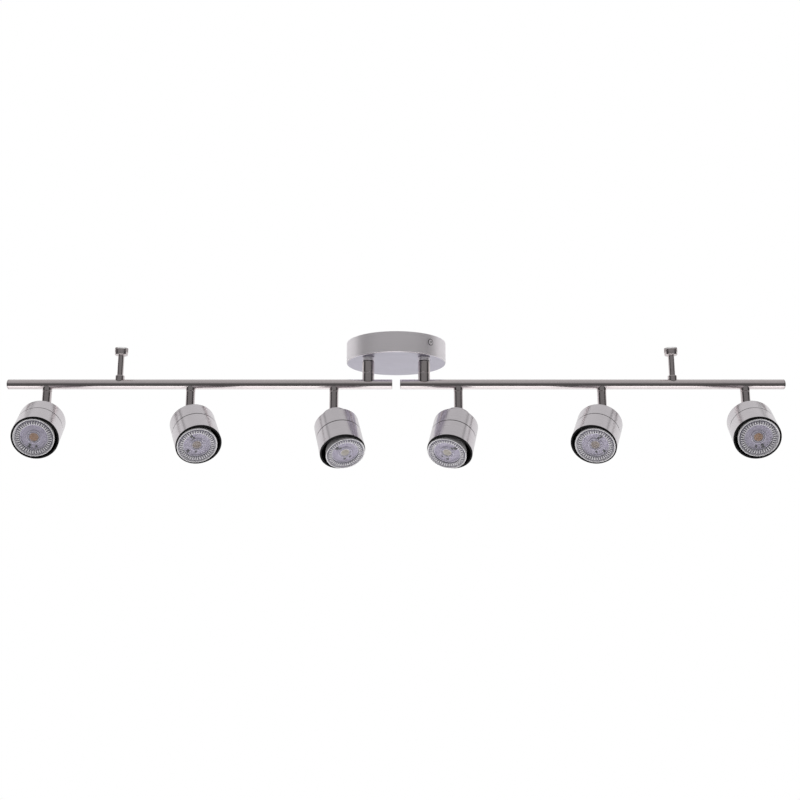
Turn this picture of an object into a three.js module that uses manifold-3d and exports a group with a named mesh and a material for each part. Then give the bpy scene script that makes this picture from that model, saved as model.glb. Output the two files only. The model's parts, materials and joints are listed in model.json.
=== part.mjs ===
// Ceiling track light: a round canopy, two swinging arms on posts, six spot heads that pan and tilt.
// Millimetres, +Z up. The origin is on the ceiling plane at the centre of the canopy; all hangs below it.
// +X runs along the arms, -Y faces the side to which the arms are offset.

import * as THREE from 'three';
import { mergeVertices } from 'three/addons/utils/BufferGeometryUtils.js';
import Module from 'manifold-3d';

const wasm = await Module();
wasm.setup();

// Clearances
const GAP = 0.3; // between pieces that rest on or in one another
const SWIVEL_GAP = 0.4; // between the faces that turn past each other

// Small shared sizes
const EDGE = 1; // bevel on the edges of turned pieces
const OVERLAP = 1; // how far joined solids and cutting tools run past a face

// Canopy
const CANOPY_R = 66;
const CANOPY_H = 27.5;
const CANOPY_WALL = 1.2;
const CANOPY_EDGE = 1.5; // bevel where the wall meets the bottom

// Bracket under the canopy and the two screws that hold the cover to it
const STRAP_WIDTH = 22;
const STRAP_THICK = 2;
const STRAP_TAB = 16; // depth of the turned-down ends
const STRAP_ANGLE = -48.4; // degrees from +X
const STRAP_PLAY = 2; // between the bracket's ends and the cover
const STRAP_SLOTS = [22, 42]; // distances of the fixing slots from the centre
const STRAP_SLOT_SIZE = [12, 5];
const COVER_SCREW_DROP = 10.4; // below the ceiling
const COVER_SCREW_R = 2;
const COVER_SCREW_HEAD_R = 3.7;
const COVER_SCREW_HEAD_H = 1.4;
const COVER_SCREW_REACH = 4; // how far it reaches in past the outer face of the bracket's end
const COVER_SCREW_SLOT = [0.9, 0.7]; // width and depth of the driver slot

// Posts between canopy and arms
const POST_X = 36;
const POST_Y = -38;
const POST_R = 7.7;
const POST_COLLAR_H = 4.6; // fixed collar under the canopy
const POST_BARREL_H = 15.8; // turning barrel below the fixed collar
const POST_GROOVE = 0.5; // depth and width of the groove under the barrel
const POST_SADDLE = 3.4; // how far the saddle reaches down past the top of the bar
const NIPPLE_R = 5; // threaded neck through the canopy
const NIPPLE_RISE = 8; // above the canopy's inside face
const SPIGOT_R = 3.6; // top of the barrel, turning inside the nipple
const SPIGOT_H = 9;
const WIRE_R = 2.2; // wire way down the middle

// Arm bars
const BAR_DROP = 63.5; // bar axis below the ceiling
const BAR_R = 6.35;
const BAR_WALL = 1.2;
const BAR_START = 5; // inner end, from the centre of the fixture
const BAR_END = 500;
const END_CAP_T = 1.3;
const END_CAP_PLUG = 8;

// Support posts that steady the arms against the ceiling
const SUPPORT_X = 356.5;
const SUPPORT_ROD_R = 3.9;
const SUPPORT_CAP_R = 8.4;
const SUPPORT_CAP_H = 8;
const SUPPORT_TOP = 17; // top of the cap below the ceiling when screwed in
const SUPPORT_COLLAR_R = 5.8;
const SUPPORT_COLLAR_TOP = 11.5; // above the bar axis

// Head stems
const HEAD_FIRST = 80; // innermost head, from the centre of the fixture
const HEAD_PITCH = 184.5;
const STEM_R = 5.75;
const STEM_COLLAR_R = 5.9;
const STEM_COLLAR_DEPTH = 3.15; // bottom of the collar below the underside of the bar
const STEM_SPIGOT_R = 3.6;
const STEM_SPIGOT_GAP = 0.85; // between the spigot and the underside of the bar
const STEM_BORE_R = 2.4;
const PIVOT_DROP = 38.7; // tilt pivot below the bar axis
const TONGUE_T = 5.4;
const EAR_T = 2.4;
const EAR_R = 4.5;
const STEM_SHOULDER = 6; // bottom of the full stem above the pivot
const STEM_FLOOR = 3; // thickness of the stem's closed end
const PIN_R = 1.5;
const PIN_HEAD_R = 2.6;
const PIN_HEAD_T = 1;

// Head shells; heights are measured from the pivot towards the mouth
const SHELL_R = 28.25;
const SHELL_WALL = 1;
const SHELL_BACK = 21;
const SHELL_LENGTH = 50;
const SHELL_SEAM = 22; // seam from the back of the shell
const SEAM_WIDTH = 0.6;
const SHELL_BEVEL = 1.4;
const SLEEVE_LIP = 4; // part of the sleeve inside the rear shell
const NECK_R = 18;
const NECK_BACK = 7;
const NECK_WALL = 1.3;
const RING_FRONT = 0.9; // thickness of the ring in front of the sleeve
const RING_SKIRT = 6;

// Lamp and its holder
const HOLDER_R = 13.5;
const HOLDER_H = 13.2;
const LAMP_SEAT_GAP = 1; // lets the lamp lean a little in its holder
const LAMP_R = 24.9;
const LAMP_PLAY = 1.3; // between the lamp and the ring
const LAMP_PROUD = 3.5; // lamp face in front of the mouth
const LAMP_BEZEL = 1.8; // thickness of the wide rim
const LAMP_RIM = 1.5; // how far the rim stands out past the body
const LAMP_BODY_H = 8.3; // from the face to where the body starts to narrow
const LAMP_BASE_R = 13.8;
const LAMP_BASE_H = 18;
const LAMP_PIN_SPACING = 10;
const LAMP_PIN_R = 2.4;
const LAMP_PIN_H = 6;
const LAMP_PIN_PLAY = 1;

// How each head stands, from the innermost outwards on the +X arm; the other arm mirrors it.
// pan: degrees from -Y towards +X. tilt: degrees up from straight down.
// lean: how far the lamp's face sits off centre, across and along the tilt.
const HEAD_POSES = [
  { pan: -18.8, tilt: 38.4, lean: [-2.3, -0.6] },
  { pan: -25.5, tilt: 47.8, lean: [2.5, -0.5] },
  { pan: -9.2, tilt: 54.8, lean: [0.9, -1.7] },
];

// Sides of the faceted round pieces
const CANOPY_SIDES = 36;
const SHELL_SIDES = 16;
const ROD_SIDES = 12;
const HOLE_SIDES = 8;
const EYE_SIDES = 5;

const FINISHES = {
  nickel: { color: 0xb3aeab, roughness: 0.35, metalness: 1 },
  steel: { color: 0x9a9c9e, roughness: 0.5, metalness: 1 },
  black: { color: 0x131313, roughness: 0.6, metalness: 0 },
  ceramic: { color: 0xe4dfd4, roughness: 0.7, metalness: 0 },
  lamp: { color: 0xd9dce2, roughness: 0.3, metalness: 0 },
};

const barInnerR = BAR_R - BAR_WALL;
const barBore = BAR_R + GAP; // radius that saddles leave round a bar
const mouth = SHELL_BACK + SHELL_LENGTH;
const seam = SHELL_BACK + SHELL_SEAM;
const underBar = PIVOT_DROP - BAR_R; // underside of the bar above the pivot
const stemCollarBottom = underBar - STEM_COLLAR_DEPTH;
const earGap = TONGUE_T / 2 + GAP; // inner face of each ear from the middle
const holderFront = NECK_BACK + NECK_WALL + GAP + HOLDER_H;

// ---------- solids ----------

// A closed mesh with shared vertices and no slivers, made from any three.js geometry.
function welded(geometry) {
  const bare = geometry.clone();
  bare.deleteAttribute('normal');
  bare.deleteAttribute('uv');
  const merged = mergeVertices(bare, 1e-4);
  const corners = merged.index.array;
  const kept = [];
  for (let i = 0; i < corners.length; i += 3) {
    const [a, b, c] = corners.slice(i, i + 3);
    if (a !== b && b !== c && c !== a) kept.push(a, b, c);
  }
  merged.setIndex(kept);
  return merged;
}

function toManifold(geometry) {
  const mesh = welded(geometry);
  return new wasm.Manifold(new wasm.Mesh({
    numProp: 3,
    vertProperties: new Float32Array(mesh.attributes.position.array),
    triVerts: new Uint32Array(mesh.index.array),
  }));
}

function toGeometry(manifold) {
  const mesh = manifold.getMesh();
  const geometry = new THREE.BufferGeometry();
  geometry.setAttribute('position', new THREE.BufferAttribute(mesh.vertProperties, 3));
  geometry.setIndex(new THREE.BufferAttribute(mesh.triVerts, 1));
  return geometry;
}

function combine(operation, base, others) {
  const joined = others.reduce((solid, other) => solid[operation](toManifold(other)), toManifold(base));
  return toGeometry(joined);
}

const join = (base, ...others) => combine('add', base, others);
const cut = (base, ...tools) => combine('subtract', base, tools);

// A body turned about Z from [radius, height] points: up the outside, then down the inside or axis.
function turned(profile, sides) {
  const points = [...profile, profile[0]].map(([r, h]) => new THREE.Vector2(r, h));
  return welded(new THREE.LatheGeometry(points, sides).rotateX(Math.PI / 2));
}

// A round bar from one height to another along 'x', 'y' or 'z', through the point at.
function rod(axis, radius, from, to, at = [0, 0, 0], sides = ROD_SIDES) {
  const geometry = new THREE.CylinderGeometry(radius, radius, to - from, sides);
  geometry.translate(0, (from + to) / 2, 0);
  if (axis === 'x') geometry.rotateZ(-Math.PI / 2);
  if (axis === 'z') geometry.rotateX(Math.PI / 2);
  return geometry.translate(...at);
}

function block(size, at) {
  return new THREE.BoxGeometry(...size).translate(...at);
}

function mesh(name, finish, geometry) {
  const material = new THREE.MeshStandardMaterial(FINISHES[finish]);
  const made = new THREE.Mesh(geometry, material);
  made.name = name;
  return made;
}

function group(children, position = [0, 0, 0], rotation = [0, 0, 0]) {
  const made = new THREE.Group();
  made.add(...children);
  made.position.set(...position);
  made.rotation.set(...rotation.map(THREE.MathUtils.degToRad));
  return made;
}

// ---------- canopy, which stays on the ceiling ----------

// The straight way of both cover screws, along X.
function coverScrewHole() {
  const reach = CANOPY_R + OVERLAP;
  return rod('x', COVER_SCREW_R + GAP, -reach, reach, [0, 0, -COVER_SCREW_DROP], HOLE_SIDES);
}

function canopyCover() {
  const inner = CANOPY_R - CANOPY_WALL;
  const cup = turned([
    [0, -CANOPY_H],
    [CANOPY_R - CANOPY_EDGE, -CANOPY_H],
    [CANOPY_R, -CANOPY_H + CANOPY_EDGE],
    [CANOPY_R, 0],
    [inner, 0],
    [inner, -CANOPY_H + CANOPY_EDGE],
    [inner - CANOPY_EDGE / 2, -CANOPY_H + CANOPY_WALL],
    [0, -CANOPY_H + CANOPY_WALL],
  ], CANOPY_SIDES);
  const [holeBottom, holeTop] = [-CANOPY_H - OVERLAP, -CANOPY_H + CANOPY_WALL + OVERLAP];
  const nippleHoles = [-POST_X, POST_X].map((x) =>
    rod('z', NIPPLE_R + GAP, holeBottom, holeTop, [x, POST_Y, 0]));
  const screwHole = coverScrewHole();
  screwHole.rotateZ(THREE.MathUtils.degToRad(STRAP_ANGLE));
  return cut(cup, ...nippleHoles, screwHole);
}

const tabOuter = CANOPY_R - CANOPY_WALL - STRAP_PLAY; // outer face of the bracket's ends

function ceilingBracket() {
  const tabs = [-1, 1].map((side) => block(
    [STRAP_THICK, STRAP_WIDTH, STRAP_TAB], [side * (tabOuter - STRAP_THICK / 2), 0, -STRAP_TAB / 2]));
  const strap = block([2 * tabOuter, STRAP_WIDTH, STRAP_THICK], [0, 0, -STRAP_THICK / 2]);
  const slots = STRAP_SLOTS.flatMap((x) => [-x, x]).map((x) =>
    block([...STRAP_SLOT_SIZE, STRAP_THICK + 2 * OVERLAP], [x, 0, -STRAP_THICK / 2]));
  return cut(join(strap, ...tabs), ...slots, coverScrewHole());
}

// A screw along +X whose head rests on the outside of the cover.
function coverScrew() {
  const end = tabOuter - COVER_SCREW_REACH;
  const under = CANOPY_R + GAP;
  const top = under + COVER_SCREW_HEAD_H;
  const [slotWidth, slotDepth] = COVER_SCREW_SLOT;
  const screw = turned([
    [0, end],
    [COVER_SCREW_R, end],
    [COVER_SCREW_R, under],
    [COVER_SCREW_HEAD_R, under],
    [COVER_SCREW_HEAD_R, under + COVER_SCREW_HEAD_H / 2],
    [COVER_SCREW_HEAD_R - EDGE, top],
    [0, top],
  ], HOLE_SIDES);
  const slot = block([2 * COVER_SCREW_HEAD_R, slotWidth, 2 * slotDepth], [0, 0, top]);
  return cut(screw, slot).rotateY(Math.PI / 2).translate(0, 0, -COVER_SCREW_DROP);
}

const collarTop = -CANOPY_H - GAP;
const collarBottom = collarTop - POST_COLLAR_H;

function postCollar() {
  const neckTop = -CANOPY_H + CANOPY_WALL + NIPPLE_RISE;
  const bore = SPIGOT_R + GAP;
  return turned([
    [bore, collarBottom],
    [POST_R, collarBottom],
    [POST_R, collarTop],
    [NIPPLE_R, collarTop],
    [NIPPLE_R, neckTop],
    [bore, neckTop],
  ], ROD_SIDES);
}

function canopy() {
  const screws = [['front', 0], ['back', 180]].map(([end, turn]) =>
    group([mesh(`${end}_cover_screw`, 'steel', coverScrew())], [0, 0, 0], [0, 0, STRAP_ANGLE + turn]));
  const collars = [['left', -1], ['right', 1]].map(([name, side]) =>
    group([mesh(`${name}_post_collar`, 'nickel', postCollar())], [side * POST_X, POST_Y, 0]));
  return group([
    mesh('canopy_cover', 'nickel', canopyCover()),
    group([mesh('ceiling_bracket', 'steel', ceilingBracket())], [0, 0, 0], [0, 0, STRAP_ANGLE]),
    ...screws,
    ...collars,
  ]);
}

// ---------- arms; each is built along +X from the fixture's centre ----------

// Barrel that turns under the canopy's collar, with a saddle over the bar. Its axis is Z.
function armPost() {
  const top = collarBottom - SWIVEL_GAP;
  const groove = top - POST_BARREL_H;
  const bottom = -BAR_DROP + BAR_R - POST_SADDLE;
  const body = turned([
    [WIRE_R, bottom],
    [POST_R, bottom],
    [POST_R, groove - POST_GROOVE],
    [POST_R - POST_GROOVE, groove - POST_GROOVE],
    [POST_R - POST_GROOVE, groove],
    [POST_R, groove],
    [POST_R, top - EDGE],
    [POST_R - EDGE, top],
    [SPIGOT_R, top],
    [SPIGOT_R, top + SPIGOT_H],
    [WIRE_R, top + SPIGOT_H],
  ], ROD_SIDES);
  return cut(body, rod('x', barBore, -2 * POST_R, 2 * POST_R, [0, 0, -BAR_DROP]));
}

const headPlaces = HEAD_POSES.map((_, i) => HEAD_FIRST + i * HEAD_PITCH);

function barTube(side) {
  const start = BAR_START + END_CAP_T + GAP;
  const end = BAR_END - END_CAP_T - GAP;
  const along = (radius, from, to) => rod('x', radius, ...(side > 0 ? [from, to] : [-to, -from]));
  const hole = (x, radius, from, to) => rod('z', radius, from, to, [side * x, 0, 0], HOLE_SIDES);
  return cut(
    along(BAR_R, start, end),
    along(barInnerR, start - OVERLAP, end + OVERLAP),
    hole(POST_X, WIRE_R, 0, 2 * BAR_R),
    hole(SUPPORT_X, SUPPORT_ROD_R + GAP, 0, 2 * BAR_R),
    ...headPlaces.map((x) => hole(x, STEM_BORE_R, -2 * BAR_R, 0)),
  );
}

// A domed plug whose outer face looks along +Z, at height 0.
function endCap() {
  return turned([
    [0, -END_CAP_T - END_CAP_PLUG],
    [barInnerR - GAP, -END_CAP_T - END_CAP_PLUG],
    [barInnerR - GAP, -END_CAP_T],
    [BAR_R, -END_CAP_T],
    [BAR_R, -END_CAP_T / 2],
    [BAR_R - EDGE, 0],
    [0, 0],
  ], ROD_SIDES);
}

// Collar on top of the bar that guides the support post. Heights are from the bar's axis.
function supportCollar() {
  const bore = SUPPORT_ROD_R + GAP;
  const body = turned([
    [bore, 0],
    [SUPPORT_COLLAR_R, 0],
    [SUPPORT_COLLAR_R, SUPPORT_COLLAR_TOP - EDGE],
    [SUPPORT_COLLAR_R - EDGE, SUPPORT_COLLAR_TOP],
    [bore, SUPPORT_COLLAR_TOP],
  ], ROD_SIDES);
  return cut(body, rod('x', barBore, -2 * BAR_R, 2 * BAR_R));
}

// Rod with a round pad on top, screwed in as far as it goes: the rod ends inside the bar.
function supportPost() {
  const rodEnd = -BAR_DROP - Math.sqrt(barInnerR ** 2 - SUPPORT_ROD_R ** 2) + 2 * GAP;
  const under = -SUPPORT_TOP - SUPPORT_CAP_H;
  return turned([
    [0, rodEnd],
    [SUPPORT_ROD_R, rodEnd],
    [SUPPORT_ROD_R, under],
    [SUPPORT_CAP_R, under],
    [SUPPORT_CAP_R, -SUPPORT_TOP - EDGE],
    [SUPPORT_CAP_R - EDGE, -SUPPORT_TOP],
    [0, -SUPPORT_TOP],
  ], ROD_SIDES);
}

function arm(name, side) {
  const inner = side > 0 ? -90 : 90;
  const bar = group([
    mesh(`${name}_bar`, 'nickel', barTube(side)),
    group([mesh(`${name}_inner_end_cap`, 'nickel', endCap())], [side * BAR_START, 0, 0], [0, inner, 0]),
    group([mesh(`${name}_outer_end_cap`, 'nickel', endCap())], [side * BAR_END, 0, 0], [0, -inner, 0]),
    group([mesh(`${name}_support_collar`, 'nickel', supportCollar())], [side * SUPPORT_X, 0, 0]),
  ], [0, POST_Y, -BAR_DROP]);
  return group([
    bar,
    group([mesh(`${name}_arm_post`, 'nickel', armPost())], [side * POST_X, POST_Y, 0]),
    group([mesh(`${name}_support_post`, 'nickel', supportPost())], [side * SUPPORT_X, POST_Y, 0]),
  ]);
}

// ---------- heads; heights are from the tilt pivot, and the mouth faces -Z ----------

// Collar fixed under the bar, coped to its roundness.
function stemCollar() {
  const bore = STEM_SPIGOT_R + GAP;
  const body = turned([
    [bore, stemCollarBottom],
    [STEM_COLLAR_R, stemCollarBottom],
    [STEM_COLLAR_R, PIVOT_DROP],
    [bore, PIVOT_DROP],
  ], ROD_SIDES);
  return cut(body, rod('x', barBore, -2 * BAR_R, 2 * BAR_R, [0, 0, PIVOT_DROP]));
}

// An eye plate across X: round end at the pivot, straight sides towards the given height.
function eyePlate(thickness, towards) {
  const outline = new THREE.Shape();
  const turn = towards > 0;
  outline.absarc(0, 0, EAR_R, turn ? Math.PI : 0, turn ? 2 * Math.PI : Math.PI, false);
  outline.lineTo(turn ? EAR_R : -EAR_R, towards);
  outline.lineTo(turn ? -EAR_R : EAR_R, towards);
  outline.closePath();
  const settings = { depth: thickness, bevelEnabled: false, curveSegments: EYE_SIDES };
  const plate = new THREE.ExtrudeGeometry(outline, settings);
  // the outline's own axes become Y and Z, and its depth becomes X
  return plate.translate(0, 0, -thickness / 2).rotateX(Math.PI / 2).rotateZ(Math.PI / 2);
}

// Hollow stem with a tongue and its riveted cross pin.
function stem() {
  const top = stemCollarBottom - SWIVEL_GAP;
  const spigotTop = underBar - STEM_SPIGOT_GAP;
  const tube = turned([
    [0, STEM_SHOULDER],
    [STEM_R, STEM_SHOULDER],
    [STEM_R, top],
    [STEM_SPIGOT_R, top],
    [STEM_SPIGOT_R, spigotTop],
    [STEM_BORE_R, spigotTop],
    [STEM_BORE_R, STEM_SHOULDER + STEM_FLOOR],
    [0, STEM_SHOULDER + STEM_FLOOR],
  ], ROD_SIDES);
  const headStart = earGap + EAR_T + GAP;
  const pinEnd = headStart + PIN_HEAD_T;
  return join(
    tube,
    eyePlate(TONGUE_T, STEM_SHOULDER + OVERLAP),
    rod('x', PIN_R, -pinEnd, pinEnd, [0, 0, 0], HOLE_SIDES),
    rod('x', PIN_HEAD_R, -pinEnd, -headStart, [0, 0, 0], HOLE_SIDES),
    rod('x', PIN_HEAD_R, headStart, pinEnd, [0, 0, 0], HOLE_SIDES),
  );
}

// Back half of the shell with its neck and the two ears that take the stem's tongue.
function rearShell() {
  const inner = SHELL_R - SHELL_WALL;
  const neckInner = NECK_R - NECK_WALL;
  const body = turned([
    [SHELL_R, -seam],
    [SHELL_R, -SHELL_BACK - SHELL_BEVEL],
    [SHELL_R - SHELL_BEVEL, -SHELL_BACK],
    [NECK_R, -SHELL_BACK],
    [NECK_R, -NECK_BACK - EDGE],
    [NECK_R - EDGE, -NECK_BACK],
    [WIRE_R, -NECK_BACK],
    [WIRE_R, -NECK_BACK - NECK_WALL],
    [neckInner, -NECK_BACK - NECK_WALL],
    [neckInner, -SHELL_BACK - SHELL_WALL],
    [inner - SHELL_BEVEL, -SHELL_BACK - SHELL_WALL],
    [inner, -SHELL_BACK - SHELL_WALL - SHELL_BEVEL],
    [inner, -seam],
  ], SHELL_SIDES);
  const ears = [-1, 1].map((side) =>
    eyePlate(EAR_T, -NECK_BACK - NECK_WALL / 2).translate(side * (earGap + EAR_T / 2), 0, 0));
  const pinHole = rod('x', PIN_R + GAP, -NECK_R, NECK_R, [0, 0, 0], HOLE_SIDES);
  return cut(join(body, ...ears), pinHole);
}

function frontSleeve() {
  const inner = SHELL_R - SHELL_WALL;
  const front = -mouth + RING_FRONT + GAP;
  const back = -seam - SEAM_WIDTH;
  const lipEnd = -seam + SLEEVE_LIP;
  const lipR = inner - GAP;
  return turned([
    [SHELL_R, front],
    [SHELL_R, back],
    [lipR, back],
    [lipR, lipEnd],
    [lipR - SHELL_WALL, lipEnd],
    [lipR - SHELL_WALL, back - SHELL_WALL],
    [inner, back - 2 * SHELL_WALL],
    [inner, front],
  ], SHELL_SIDES);
}

function frontRing() {
  const inner = LAMP_R + LAMP_PLAY;
  const skirtR = SHELL_R - SHELL_WALL - GAP;
  return turned([
    [inner, -mouth],
    [SHELL_R, -mouth],
    [SHELL_R, -mouth + RING_FRONT],
    [skirtR, -mouth + RING_FRONT],
    [skirtR, -mouth + RING_FRONT + RING_SKIRT],
    [inner, -mouth + RING_FRONT + RING_SKIRT],
  ], SHELL_SIDES);
}

function lampholder() {
  const holderBack = -holderFront + HOLDER_H;
  const body = turned([
    [0, -holderFront],
    [HOLDER_R, -holderFront],
    [HOLDER_R, holderBack - EDGE],
    [HOLDER_R - EDGE, holderBack],
    [0, holderBack],
  ], ROD_SIDES);
  const socketEnd = -holderFront + LAMP_PIN_H + LAMP_PIN_PLAY;
  const sockets = [-1, 1].map((side) => rod('z', LAMP_PIN_R + LAMP_PIN_PLAY,
    -holderFront - OVERLAP, socketEnd, [side * LAMP_PIN_SPACING / 2, 0, 0], HOLE_SIDES));
  return cut(body, ...sockets);
}

const lampLength = mouth + LAMP_PROUD - holderFront - LAMP_SEAT_GAP;

// Spot lamp with its two pins up; height 0 is the back of its base.
function lamp() {
  const body = turned([
    [0, -lampLength],
    [LAMP_R, -lampLength],
    [LAMP_R, -lampLength + LAMP_BEZEL],
    [LAMP_R - LAMP_RIM, -lampLength + LAMP_BEZEL],
    [LAMP_R - LAMP_RIM, -lampLength + LAMP_BODY_H],
    [LAMP_BASE_R, -LAMP_BASE_H],
    [LAMP_BASE_R, 0],
    [0, 0],
  ], SHELL_SIDES);
  const pins = [-1, 1].map((side) =>
    rod('z', LAMP_PIN_R, -OVERLAP, LAMP_PIN_H, [side * LAMP_PIN_SPACING / 2, 0, 0], HOLE_SIDES));
  return join(body, ...pins);
}

function head(number, side, place, pose) {
  const name = `head_${number}`;
  const [across, along] = pose.lean;
  const leanAcross = THREE.MathUtils.radToDeg(Math.asin(-side * across / lampLength));
  const leanAlong = THREE.MathUtils.radToDeg(Math.asin(along / lampLength));
  const seated = group([mesh(`${name}_lamp`, 'lamp', lamp())],
    [0, 0, -holderFront - LAMP_SEAT_GAP], [leanAlong, leanAcross, 0]);
  const tilting = group([
    mesh(`${name}_rear_shell`, 'nickel', rearShell()),
    mesh(`${name}_front_sleeve`, 'nickel', frontSleeve()),
    mesh(`${name}_front_ring`, 'black', frontRing()),
    mesh(`${name}_lampholder`, 'ceramic', lampholder()),
    seated,
  ], [0, 0, 0], [-pose.tilt, 0, 0]);
  const turnedStem = mesh(`${name}_stem`, 'nickel', stem());
  const panning = group([turnedStem, tilting], [0, 0, 0], [0, 0, side * pose.pan]);
  return group([mesh(`${name}_stem_collar`, 'nickel', stemCollar()), panning],
    [side * place, POST_Y, -BAR_DROP - PIVOT_DROP]);
}

// ---------- the whole fixture; heads are numbered from the left end ----------

const heads = HEAD_POSES.flatMap((pose, i) => [
  head(HEAD_POSES.length - i, -1, headPlaces[i], pose),
  head(HEAD_POSES.length + 1 + i, 1, headPlaces[i], pose),
]);

export default group([canopy(), arm('left', -1), arm('right', 1), ...heads]);
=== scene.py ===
import json
import math

import bmesh
import bpy
import numpy as np
from mathutils import Matrix, Vector


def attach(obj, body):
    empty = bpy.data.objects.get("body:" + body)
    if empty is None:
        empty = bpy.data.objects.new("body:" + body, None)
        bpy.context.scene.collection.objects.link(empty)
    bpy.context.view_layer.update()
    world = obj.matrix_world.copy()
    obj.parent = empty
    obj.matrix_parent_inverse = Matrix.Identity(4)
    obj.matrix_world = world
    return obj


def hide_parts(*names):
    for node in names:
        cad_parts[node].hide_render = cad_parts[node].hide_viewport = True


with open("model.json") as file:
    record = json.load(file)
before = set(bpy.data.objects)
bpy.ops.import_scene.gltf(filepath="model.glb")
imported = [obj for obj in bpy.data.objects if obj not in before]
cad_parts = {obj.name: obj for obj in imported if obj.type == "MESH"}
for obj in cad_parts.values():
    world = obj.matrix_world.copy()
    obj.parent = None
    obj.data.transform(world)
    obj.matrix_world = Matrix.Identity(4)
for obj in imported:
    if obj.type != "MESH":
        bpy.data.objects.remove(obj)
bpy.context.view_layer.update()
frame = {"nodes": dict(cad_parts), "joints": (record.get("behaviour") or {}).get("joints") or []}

# Sizes are in millimetres in each piece's own frame, and become metres when the piece is placed.
MM = 0.001
GAP = 0.3  # between pieces that rest on one another
SWIVEL_GAP = 0.4  # between faces that turn past each other
ARC_STEPS = 4
HOLD = 0.12  # flat left beside each rounded edge

CANOPY_R = 66.0
CANOPY_H = 27.5
CANOPY_WALL = 1.2
CANOPY_FLOOR = -CANOPY_H + CANOPY_WALL
CANOPY_EDGE = 1.5
STRAP_ANGLE = -48.4  # degrees from +X
STRAP_REACH = 62.8
STRAP_WIDTH = 22.0
STRAP_THICK = 2.0
STRAP_TAB = 16.0
STRAP_SLOTS_AT = (22.0, 42.0)
STRAP_SLOT = (12.0, 5.0)
COVER_SCREW_DROP = 10.4
COVER_SCREW_HOLE_R = 2.3
COVER_SCREW_R = 2.0
COVER_SCREW_RING_R = 5.3
COVER_SCREW_HEAD_R = 3.4

POST_X = 36.0
POST_Y = -38.0
POST_R = 7.7
POST_COLLAR_H = 4.6
POST_BARREL_H = 15.8
COLLAR_TOP = -CANOPY_H - GAP
COLLAR_BOTTOM = COLLAR_TOP - POST_COLLAR_H
POST_GROOVE = 0.7
# height of the narrow neck under the fixed collar, painted black as the shade in the swivel's gap
SHADED_SWIVEL_NECK = 0.9
POST_SADDLE = 3.4
NIPPLE_R = 5.0
NIPPLE_RISE = 8.0
NUT_R = 7.0  # to its corners
NUT_H = 3.5
NECK_WASHER_R = 8.4
NECK_WASHER_T = 0.8
SPIGOT_R = 3.6
SPIGOT_H = 9.0
WIRE_R = 2.2

TERMINAL_PITCH = 8.6
TERMINAL_ROW = 4.2  # from the block's middle to each row of screws
TERMINAL_LENGTH = 16.0
TERMINAL_H = 8.0
TERMINAL_TOWER_R = 3.2
TERMINAL_SCREW_R = 2.1

BAR_DROP = 63.5
BAR_R = 6.35
BAR_WALL = 1.2
BAR_START = 5.0
BAR_END = 500.0
END_CAP_T = 1.3
END_CAP_PLUG = 8.0
SADDLE_R = BAR_R + GAP

SUPPORT_X = 356.5
SUPPORT_ROD_R = 3.9
SUPPORT_CAP_R = 8.4
SUPPORT_CAP_H = 8.0
SUPPORT_TOP = 17.0
SUPPORT_COLLAR_R = 5.8
SUPPORT_COLLAR_TOP = 11.5

STEM_R = 5.75
STEM_COLLAR_R = 5.9
STEM_COLLAR_BOTTOM = 29.2  # above the tilt pivot
STEM_SPIGOT_TOP = 31.5
STEM_BORE_R = 2.4
STEM_SHOULDER = 6.0
PIVOT_DROP = 38.7
TONGUE_T = 5.4
EAR_T = 2.4
EAR_R = 4.5
EAR_MIDDLE = TONGUE_T / 2 + GAP + EAR_T / 2
RIVET_R = 1.5
RIVET_HEAD_R = 2.6
RIVET_HEAD_START = EAR_MIDDLE + EAR_T / 2 + GAP

SHELL_R = 28.25
SHELL_WALL = 1.0
SHELL_BACK = 21.0
SEAM = 43.0
SEAM_WIDTH = 0.9
MOUTH = 71.0
RING_FLANGE = 0.9
RING_SKIRT = 6.9
NECK_R = 18.0
NECK_BACK = 7.0
NECK_WALL = 1.3

HOLDER_FRONT = 21.8
HOLDER_R = 13.5
HOLDER_H = 13.2
LAMP_R = 24.9
LAMP_LENGTH = 51.7
LAMP_BASE_R = 13.8
LAMP_BASE_H = 18.0
LAMP_PIN_R = 2.4
LAMP_PIN_H = 6.0
LAMP_PIN_X = 5.0
RIM_R = LAMP_R - 0.4
BEZEL_R = LAMP_R - 1.5
LENS_DROP = 0.7  # lens face behind the lamp's rim
BOARD_DROP = 3.6  # lamp's board behind the rim
BOARD_R = 16.4
RIBS = 42
RIBS_R = 19.0
CHIP_R = 5.6


# ---------- shapes: lists of points and faces in a piece's own frame ----------

def rounded(corners, closed):
    """The line through (x, y, edge) corners, with an arc of radius edge at each one that has an edge."""
    line = []
    for i, (x, y, edge) in enumerate(corners):
        here = Vector((x, y))
        if edge == 0 or (not closed and i in (0, len(corners) - 1)):
            line.append(here)
            continue
        back = (Vector(corners[i - 1][:2]) - here).normalized()
        ahead = (Vector(corners[(i + 1) % len(corners)][:2]) - here).normalized()
        half = back.angle(ahead) / 2
        reach = edge / math.tan(half)
        centre = here + (back + ahead).normalized() * edge / math.sin(half)
        start = here + back * reach - centre
        sweep = start.angle_signed(here + ahead * reach - centre)
        line.append(here + back * (reach + HOLD))
        for step in range(ARC_STEPS + 1):
            turned_by = Matrix.Rotation(-sweep * step / ARC_STEPS, 2)
            line.append(centre + turned_by @ start)
        line.append(here + ahead * (reach + HOLD))
    return line


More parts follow.
